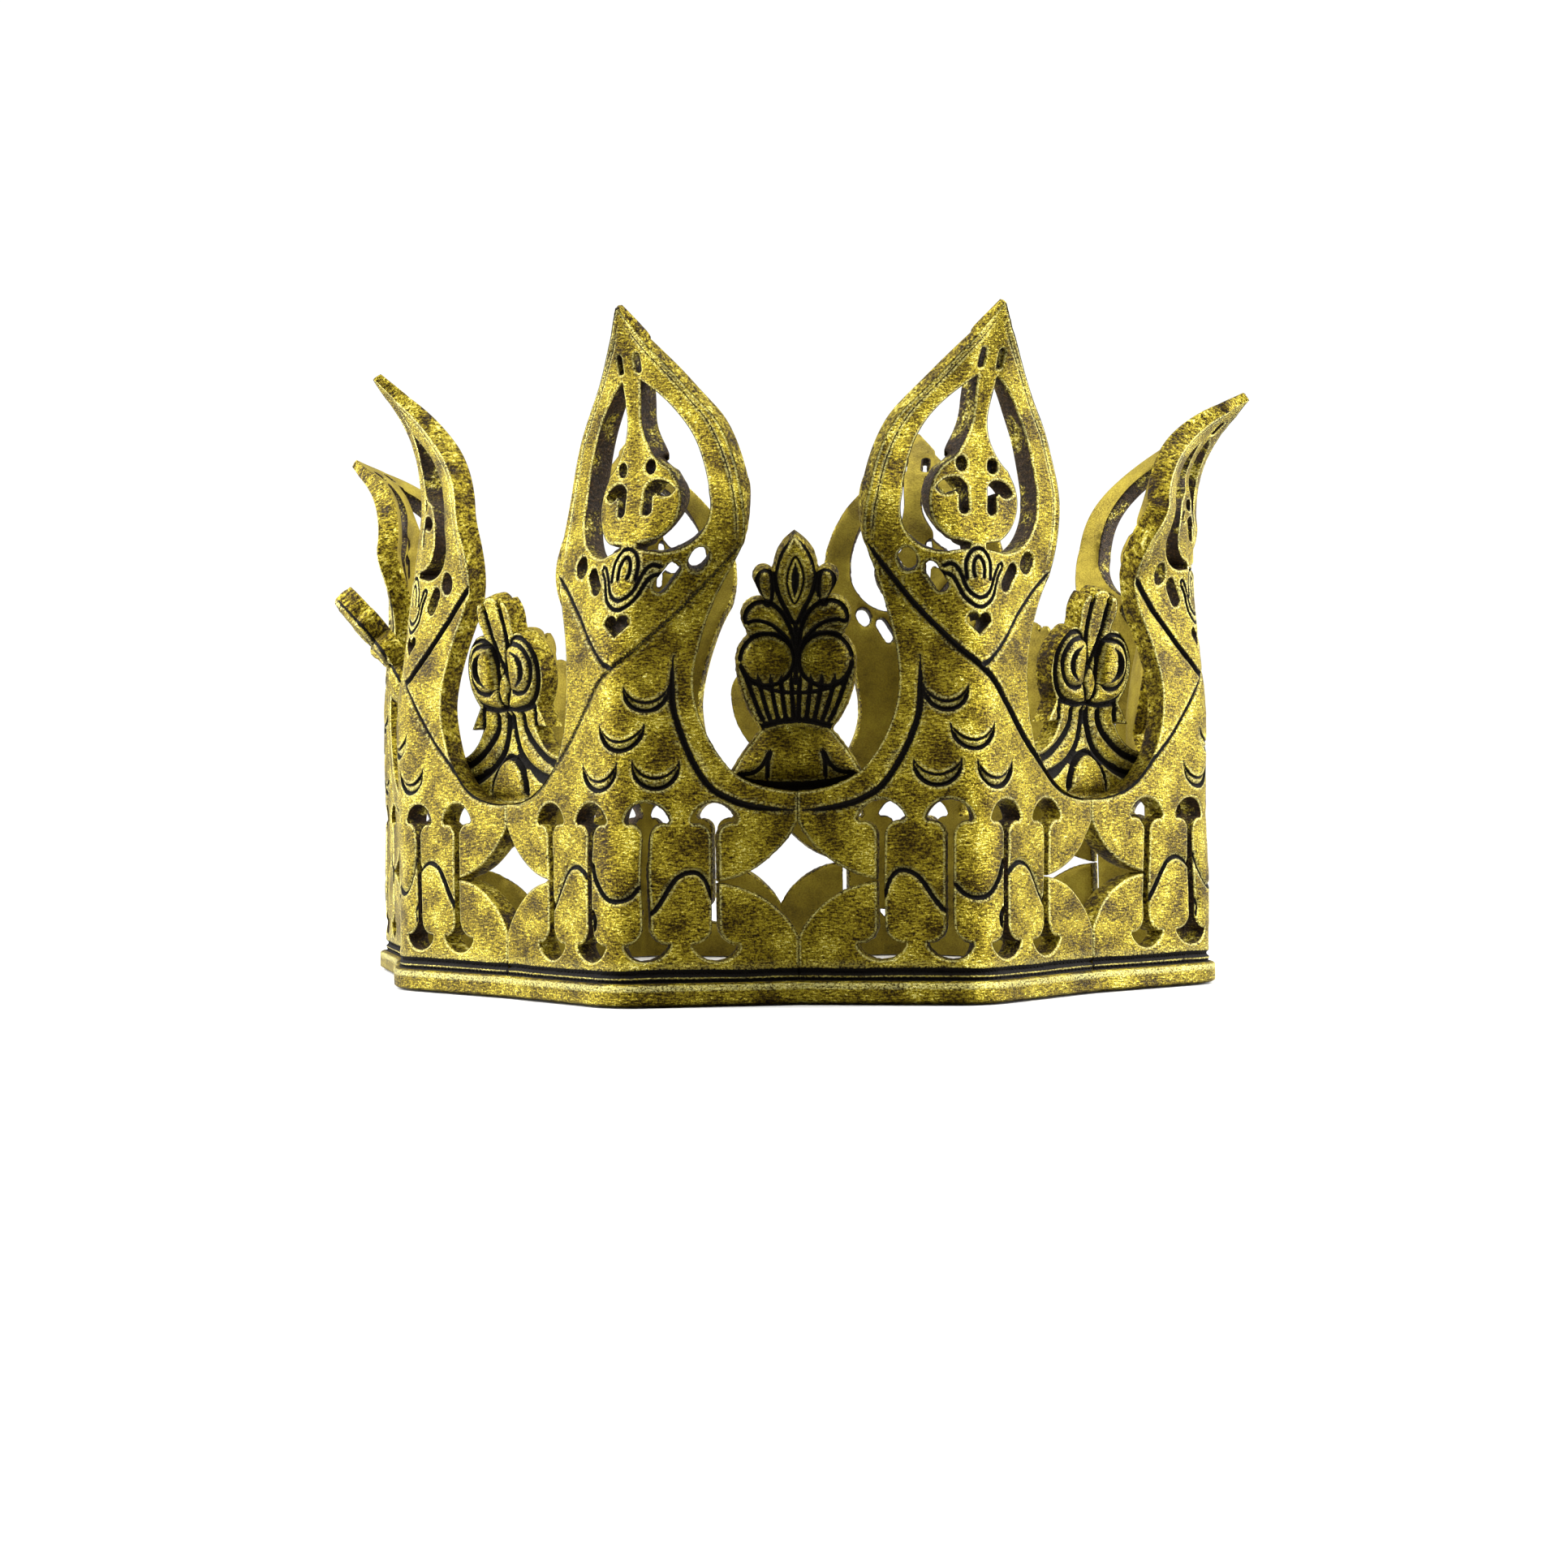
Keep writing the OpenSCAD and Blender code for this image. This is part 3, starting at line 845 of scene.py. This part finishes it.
def scroll_pattern():
    half = [
        arc((0, 39), (12, 41.7), (21.3, 49)),
        [(20.8, 50.8)],
        arc((18.2, 50.7), (12.3, 53), (9.3, 57.4)),
        [(13.4, 57), (10.2, 61.6)],
        arc((10.8, 62.4), (13, 69.5), (9.8, 75.4)),
        arc((9, 76), (7, 77), (5.2, 76.8)),
        arc((5.3, 78.5), (5.6, 82), (4.6, 84)),
        [(3.4, 84), (2.7, 82.6)],
        arc((2.5, 84.2), (1.4, 85.2), (0, 85.4), 0.4),
    ]
    outline = loop(*half, *[left(p) for p in half[::-1]])
    band = spline([
        (1, 61.4), (5, 61.2), (9.6, 62.8), (12, 67), (11.8, 71.6), (9.6, 75.2), (6, 76.2), (3.4, 74.6),
        (2.4, 71), (2.2, 66),
    ], 0.4, closed=True)
    inner_line = spline([
        (2.6, 74.4), (5.6, 75), (8.8, 74), (10.7, 70.8), (10.4, 67.4), (8.4, 65), (5.4, 64.4), (2.8, 65.4),
    ], 0.4)
    cushion = spline([
        (3.2, 73.6), (6.4, 74.2), (9.4, 71.6), (9.6, 68), (7, 65.4), (3.4, 66),
    ], 0.4, closed=True)
    slit = spline([(5.6, 73.4), (7.5, 72), (8.3, 69.7), (7.6, 67.6), (5.8, 66)], 0.4)
    bud = spline([
        (0, 61.4), (1.8, 63.4), (1.9, 66.4), (0, 69), (-1.9, 66.4), (-1.8, 63.4),
    ], 0.4, closed=True)
    blade_edge = spline([(0, 68.6), (1.5, 72.4), (2.5, 77), (2.7, 84.4)], 0.5)
    arch = spline([
        (6.6, 42.2), (5.6, 46), (3.2, 49.4), (0, 50.8), (-3.2, 49.4), (-5.6, 46), (-6.6, 42.2),
    ])
    barb = [(9.2, 61.4), (9.4, 57.6)]
    neck = spline([(-9.6, 61.6), (-4, 60.8), (0, 61.2), (4, 60.8), (9.6, 61.6)])
    # A black arc is painted shadow where the finial dips behind the panels
    shadow = arc((-20.5, 48.4), (0, 39.6), (20.5, 48.4))
    small_leaf = spline([(13.2, 45), (10.2, 45.9), (6.8, 48), (9.4, 47.7), (13.2, 45)], 0.4)
    # Each side of the fan is three rounded bands between two wide grooves
    grooves = [
        spline([(0.7, 60.8), (1.1, 56.4), (3.2, 51.4), (8.2, 47.6), (14.2, 45.8), (16.5, 45.6)]),
        spline([(4.4, 60.8), (5, 56.6), (8.8, 52.6), (13.2, 50), (18.4, 48.6), (20, 48.8)]),
    ]
    pads = [dict(path=p, height=1.5, round_off=2.2) for p in both([band])]
    pads += [dict(path=p, height=0.5, round_off=1.5) for p in both([cushion])]
    pads.append(dict(path=bud, height=1.3, round_off=1.6))
    pads.append(dict(path=loop(arch), height=1.5, round_off=3.5))
    strokes = cuts(
        (both([inner_line]), 1.1, 0.42, 0.9, 0.8, 0.1),
        (both([slit]), 1.5, 0.8, 1.2, 0.9, 0.42),
        ([closed(p) for p in [*both([band]), bud]], 0.8, 0.34, 0.7, 0.7, 0),
        (both([blade_edge]), 1.4, 0.55, 1.1, 0.9, 0.05),
        ([arch], 1.1, 0.55, 0.9, 0.9, 0.05),
        (both([small_leaf]), 0.7, 0.34, 0.6, 0.6, 0),
        (both(grooves), 1.6, 0.62, 1.7, 1.7, 0.06),
        (both([barb]), 1.2, 0.5, 1, 1, 0),
        ([neck], 1.0, 0.45, 0.7, 0.7, 0.03),
        # Painted shadow along the line where the finial dips behind the panels
        ([shadow], 1.1, 1.0, 1.4, 1.4, 0.02),
    )
    return Pattern(merged(outline, []), strokes, pads)


# Materials ------------------------------------------------------------------------------------

class Shader:
    """A material built from nodes, one call for each node."""

    def __init__(self, name):
        self.material = bpy.data.materials.new(name)
        self.material.use_nodes = True
        self.nodes = self.material.node_tree.nodes
        self.links = self.material.node_tree.links
        self.nodes.clear()
        self.flat = self.attribute("flat", "Vector")

    def node(self, kind, settings=(), **sockets):
        node = self.nodes.new(kind)
        for key, value in settings:
            setattr(node, key, value)
        for key, value in sockets.items():
            self.feed(node.inputs[key.replace("_", " ")], value)
        return node

    def feed(self, socket, value):
        """Links another node's output to a socket, or sets the socket's own value."""
        if isinstance(value, bpy.types.NodeSocket):
            self.links.new(value, socket)
        else:
            socket.default_value = value

    def attribute(self, name, output="Fac"):
        return self.node("ShaderNodeAttribute", [("attribute_name", name)]).outputs[output]

    def noise(self, scale, detail=3, roughness=0.6, distortion=0.0, stretch=None, turn=0):
        vector = self.flat
        if stretch:
            vector = self.node("ShaderNodeMapping", Vector=self.flat, Scale=stretch,
                               Rotation=(0, 0, math.radians(turn))).outputs[0]
        return self.node("ShaderNodeTexNoise", Vector=vector, Scale=scale, Detail=detail,
                         Roughness=roughness, Distortion=distortion).outputs["Fac"]

    def ramp(self, value, *stops):
        node = self.node("ShaderNodeValToRGB", Fac=value)
        elements = node.color_ramp.elements
        while len(elements) < len(stops):
            elements.new(0.5)
        for element, (position, colour) in zip(elements, stops):
            element.position = position
            element.color = (*colour, 1)
        return node.outputs["Color"]

    def steps(self, value, low, high, start=0.0, end=1.0):
        node = self.node("ShaderNodeMapRange", [("interpolation_type", "SMOOTHSTEP")], Value=value)
        for key, number in (("From Min", low), ("From Max", high), ("To Min", start), ("To Max", end)):
            node.inputs[key].default_value = number
        return node.outputs[0]

    def math(self, operation, a, b=0.0):
        node = self.nodes.new("ShaderNodeMath")
        node.operation = operation
        self.feed(node.inputs[0], a)
        self.feed(node.inputs[1], b)
        return node.outputs[0]

    def blend(self, a, share_a, b, share_b):
        return self.math("ADD", self.math("MULTIPLY", a, share_a), self.math("MULTIPLY", b, share_b))

    def mix(self, factor, a, b):
        node = self.nodes.new("ShaderNodeMix")
        node.data_type = "RGBA"
        self.feed(node.inputs[0], factor)
        # Inputs 6 and 7 and output 2 are the ones that carry colours
        for key, value in ((6, a), (7, b)):
            self.feed(node.inputs[key], (*value, 1) if isinstance(value, tuple) else value)
        return node.outputs[2]

    def finish(self, colour, metallic, roughness, height, strength, distance=0.0002):
        bump = self.node("ShaderNodeBump", Height=height, Strength=strength, Distance=distance)
        surface = self.node("ShaderNodeBsdfPrincipled", Base_Color=colour, Metallic=metallic,
                            Roughness=roughness, Normal=bump.outputs[0])
        surface.inputs["Specular IOR Level"].default_value = 0.2
        output = self.nodes.new("ShaderNodeOutputMaterial")
        self.links.new(surface.outputs[0], output.inputs[0])
        return self.material


LEMON = (0.60, 0.49, 0.04)
GOLD = (0.30, 0.225, 0.016)
OLIVE = (0.11, 0.075, 0.007)
UMBER = (0.022, 0.013, 0.005)
SOOT = (0.007, 0.005, 0.003)
RUST = (0.17, 0.075, 0.012)
PALE_GOLD = (1.0, 0.93, 0.36)


def gilding(s, grain, brush, blotch):
    """Rubbed gold paint: the tone that drives it, and its colour."""
    tone = s.blend(grain, 0.55, brush, 0.45)
    tone = s.math("ADD", tone, s.math("MULTIPLY", s.math("SUBTRACT", blotch, 0.5), 0.42))
    paint = s.ramp(tone, (0.39, UMBER), (0.455, OLIVE), (0.53, GOLD), (0.60, LEMON), (0.68, PALE_GOLD))
    return tone, paint


def face_leather():
    s = Shader("antique_gold_leather")
    blotch = s.noise(0.13, 3, 0.55)
    grain = s.noise(2.2, 5, 0.7, 0.4)
    brush = s.noise(1.4, 3, 0.6, 0.3, stretch=(0.5, 2.0, 1), turn=35)
    specks = s.noise(2.6, 3, 0.7)
    tone, paint = gilding(s, grain, brush, blotch)
    pores = s.math("MULTIPLY", s.steps(specks, 0.42, 0.30), s.steps(grain, 0.56, 0.42))
    paint = s.mix(s.math("MULTIPLY", pores, 0.9), paint, UMBER)
    # Painted highlight: pale gold along the rims of the cuts and just inside the edges, broken up by the
    # grain
    rub = s.attribute("rub")
    worn = s.math("MULTIPLY", rub, s.steps(grain, 0.40, 0.56))
    paint = s.mix(s.math("MULTIPLY", worn, 0.7), paint, PALE_GOLD)
    # Near-black from the ink channel: antique wash in the cuts, and painted shadow where the finials dip
    # behind the panels
    ink = s.attribute("ink")
    wash_and_shade = s.math("ADD", ink, s.math("MULTIPLY", s.math("SUBTRACT", specks, 0.5), 1.1))
    dark = s.math("MULTIPLY", s.steps(wash_and_shade, 0.35, 0.65), s.steps(ink, 0.02, 0.2))
    colour = s.mix(dark, paint, SOOT)
    metallic = s.math("MULTIPLY", s.steps(dark, 0.0, 1.0, 0.96, 0.1), s.steps(pores, 0, 1, 1, 0.5))
    roughness = s.math("MAXIMUM", s.steps(tone, 0.42, 0.62, 0.42, 0.25), s.math("MULTIPLY", dark, 0.8))
    height = s.blend(grain, 0.75, brush, 0.5)
    height = s.math("SUBTRACT", height, s.math("MULTIPLY", pores, 0.4))
    return s.finish(colour, metallic, roughness, height, 0.9, 0.0006)


def edge_leather():
    s = Shader("cut_leather_edge")
    fibre = s.noise(2.0, 5, 0.7, 0.3)
    patch = s.noise(0.2, 2, 0.5)
    streak = s.noise(1.4, 3, 0.6, 0.2, stretch=(1, 1, 0.6))
    tone = s.blend(fibre, 0.6, streak, 0.4)
    bare = s.ramp(tone, (0.38, SOOT), (0.54, (0.05, 0.026, 0.006)), (0.68, RUST))
    _, paint = gilding(s, fibre, streak, patch)
    paint = s.mix(s.steps(tone, 0.5, 0.4, 0, 0.85), paint, UMBER)
    mask = s.blend(patch, 0.6, fibre, 0.5)
    mask = s.math("ADD", mask, s.math("MULTIPLY", s.attribute("gilt"), 0.26))
    gilded = s.steps(mask, 0.62, 0.76)
    colour = s.mix(gilded, bare, paint)
    metallic = s.steps(gilded, 0, 1, 0.05, 0.9)
    roughness = s.steps(tone, 0.38, 0.62, 0.62, 0.36)
    return s.finish(colour, metallic, roughness, tone, 1.0, 0.0009)


def back_leather():
    s = Shader("gold_washed_back")
    blotch = s.noise(0.1, 4, 0.6)
    nap = s.noise(2.2, 4, 0.7)
    tone = s.blend(blotch, 0.6, nap, 0.4)
    colour = s.ramp(tone, (0.36, (0.12, 0.085, 0.012)), (0.5, (0.30, 0.23, 0.03)),
                    (0.64, (0.46, 0.37, 0.05)))
    metallic = s.steps(tone, 0.3, 0.6, 0.4, 0.75)
    roughness = s.steps(nap, 0.3, 0.7, 0.66, 0.5)
    height = s.math("ADD", nap, s.math("MULTIPLY", blotch, 0.5))
    return s.finish(colour, metallic, roughness, height, 0.5, 0.0003)


# The pieces -----------------------------------------------------------------------------------

leathers = [face_leather(), edge_leather(), back_leather()]


def fitted(obj, node):
    for leather in leathers:
        obj.data.materials.append(leather)
    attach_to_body(obj, "root")
    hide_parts(node)


prong_pattern = Pattern(merged(prong_outline(), prong_holes()), prong_strokes())
for i, place in enumerate(PRONG_NAMES):
    # The long line is only faintly cut on the front left prong
    shares = {LONG_LINE: 0.4} if place == "front_left" else {}
    prong = sheet_object(f"{place}_prong", prong_pattern, prong_face(i), PANEL_T, 11 * i + 5,
                         seam=mitre(i), shares=shares, thin=TIP_THINNING)
    fitted(prong, f"prong_{place}")

patterns = {"lotus": lotus_pattern(), "scroll": scroll_pattern()}
# How far to the right of its seam a finial was glued, in millimetres
GLUED_OFF = {"scroll_front_right": 4, "scroll_front_left": -5}
for i, node in enumerate(FINIAL_NAMES):
    kind = node.split("_")[0]
    bend = Bend([48, 86], [0, 42]) if node == "lotus_left" else Bend([55.5, 91.5], [0, 26])
    face = finial_face(i, bend, GLUED_OFF.get(node, 0))
    piece = sheet_object(f"{node}_finial", patterns[kind], face, FINIAL_T, 7 * i + 103)
    fitted(piece, node)


# The rim strip starts at the rear seam, on the rear left prong, and goes once round
FIRST_UNDER_RIM = PRONG_NAMES.index("rear_left")
RIM_STEP = 0.8


def rim_object():
    """A half-round strip round the outside of the base, with its two ends butted at the back."""
    section = [(2.35 - 2.25 * math.cos(t), 1.4 * min(1, 1.35 * math.sin(t) ** 0.7))
               for t in np.linspace(0, math.pi, 15)]
    section = np.array(section + [(4.6, -0.2), (0.1, -0.2)])
    size = len(section)
    rings = []
    for k in range(8):
        i = (FIRST_UNDER_RIM + k) % 8
        walk = np.arange(-PANEL_HALF, PANEL_HALF + 0.01, RIM_STEP)[1 if k else 0:]
        w = np.repeat(walk * (1 if i % 2 == 0 else -1), size)
        v, proud = np.tile(section, (len(walk), 1)).T
        worn = 1 + 0.1 * clouds(walk, walk * 0 + 9 * i, 3, 77).repeat(size)
        proud = np.where(proud > 0, proud * worn, proud)
        points = set_off(prong_face(i), w - proud * run_on(w, mitre(i)), v, -proud)
        rings.append(points.reshape(len(walk), size, 3))
    rings = np.concatenate(rings)
    count = len(rings)
    # The butt joint: the last ring stops just short of the first
    rings[-1] = rings[-2] + (rings[-1] - rings[-2]) * 0.6
    index = np.arange(count * size).reshape(count, size)
    after = np.roll(index, -1, 1)
    quads = np.stack([index[:-1], index[1:], after[1:], after[:-1]], -1).reshape(-1, 4)
    ends = [index[0].tolist(), index[-1, ::-1].tolist()]
    mesh = bpy.data.meshes.new("base_rim_strip")
    mesh.from_pydata((rings.reshape(-1, 3) * MM).tolist(), [], quads.tolist() + ends)
    kinds = np.zeros(len(mesh.polygons), int)
    kinds[-2:] = 1
    mesh.polygons.foreach_set("material_index", kinds)
    run = np.repeat(np.arange(count) * RIM_STEP, size)
    v, proud = np.tile(section, (count, 1)).T
    line = np.clip(1 - np.abs(v - 2.5) / 0.45, 0, 1) * (proud > 0.5)
    # The upper side of the strip gets a painted highlight, through the same channel as the cut rims
    attach(mesh, flat=np.column_stack([run, v + 300, proud]),
           ink=np.where(proud < 0.45, 0.9, 0.25 * line),
           rub=np.where((proud > 1.1) & (v > 3), 0.8, 0))
    return finished("base_rim_strip", mesh)


fitted(rim_object(), "base_rim")


# Floor, light and camera ----------------------------------------------------------------------

def stage_floor():
    """A round white table under the crown."""
    mesh = bpy.data.meshes.new("studio_floor")
    turns = np.linspace(0, 2 * math.pi, 121)[:-1]
    corners = [(0.52 * math.cos(a), 0.52 * math.sin(a), 0) for a in turns]
    mesh.from_pydata(corners, [], [tuple(range(120))])
    floor = bpy.data.objects.new("studio_floor", mesh)
    floor.location.z = -0.0003
    bpy.context.scene.collection.objects.link(floor)
    material = bpy.data.materials.new("pale_floor")
    material.use_nodes = True
    shader = material.node_tree.nodes["Principled BSDF"]
    # The table is white to look at, and dimmer to the crown's own reflections
    path = material.node_tree.nodes.new("ShaderNodeLightPath")
    shade = material.node_tree.nodes.new("ShaderNodeMapRange")
    shade.inputs["To Min"].default_value = 0.35
    shade.inputs["To Max"].default_value = 0.95
    material.node_tree.links.new(path.outputs["Is Camera Ray"], shade.inputs["Value"])
    material.node_tree.links.new(shade.outputs[0], shader.inputs["Base Color"])
    shader.inputs["Roughness"].default_value = 0.9
    mesh.materials.append(material)


def softbox(name, place):
    """A soft lamp at one side, aimed at the middle of the crown."""
    light = bpy.data.lights.new(name, "AREA")
    light.shape = "RECTANGLE"
    light.size, light.size_y = 0.6, 0.8
    light.energy = 16.5
    lamp = bpy.data.objects.new(name, light)
    lamp.location = place
    aim = Vector((0, 0, 0.07)) - Vector(place)
    lamp.rotation_euler = aim.to_track_quat("-Z", "Y").to_euler()
    bpy.context.scene.collection.objects.link(lamp)


def studio():
    world = bpy.data.worlds.new("studio")
    bpy.context.scene.world = world
    world.use_nodes = True
    nodes, links = world.node_tree.nodes, world.node_tree.links
    background = nodes["Background"]
    background.inputs["Color"].default_value = (1, 1, 1, 1)
    # The room is dim in front of the crown and lighter round the rest, and looks white to the camera
    direction = nodes.new("ShaderNodeSeparateXYZ")
    links.new(nodes.new("ShaderNodeTexCoord").outputs["Generated"], direction.inputs[0])
    room = nodes.new("ShaderNodeMapRange")
    room.interpolation_type = "SMOOTHSTEP"
    for key, number in (("From Min", -0.95), ("From Max", -0.1), ("To Min", 0.06), ("To Max", 0.4)):
        room.inputs[key].default_value = number
    links.new(direction.outputs["Y"], room.inputs["Value"])
    path = nodes.new("ShaderNodeLightPath")
    strength = nodes.new("ShaderNodeMapRange")
    strength.inputs["To Max"].default_value = 1.05
    links.new(room.outputs[0], strength.inputs["To Min"])
    links.new(path.outputs["Is Camera Ray"], strength.inputs["Value"])
    links.new(strength.outputs[0], background.inputs["Strength"])
    softbox("left_softbox", (-0.8, 0.1, 0.3))
    softbox("right_softbox", (0.8, 0.1, 0.3))
    overhead = bpy.data.lights.new("overhead", "SUN")
    overhead.energy = 3.1
    overhead.angle = math.radians(70)
    lamp = bpy.data.objects.new("overhead", overhead)
    bpy.context.scene.collection.objects.link(lamp)


def camera():
    data = bpy.data.cameras.new("camera")
    data.lens = 56.7
    data.sensor_width = 36
    data.shift_y = 0.0108
    data.clip_start = 0.05
    view = bpy.data.objects.new("camera", data)
    view.location = (0.0009, -0.5778, 0.0409)
    view.rotation_euler = (math.radians(90), 0.0095, 0)
    bpy.context.scene.collection.objects.link(view)
    bpy.context.scene.camera = view


stage_floor()
studio()
camera()
bpy.context.scene.view_settings.view_transform = "Standard"
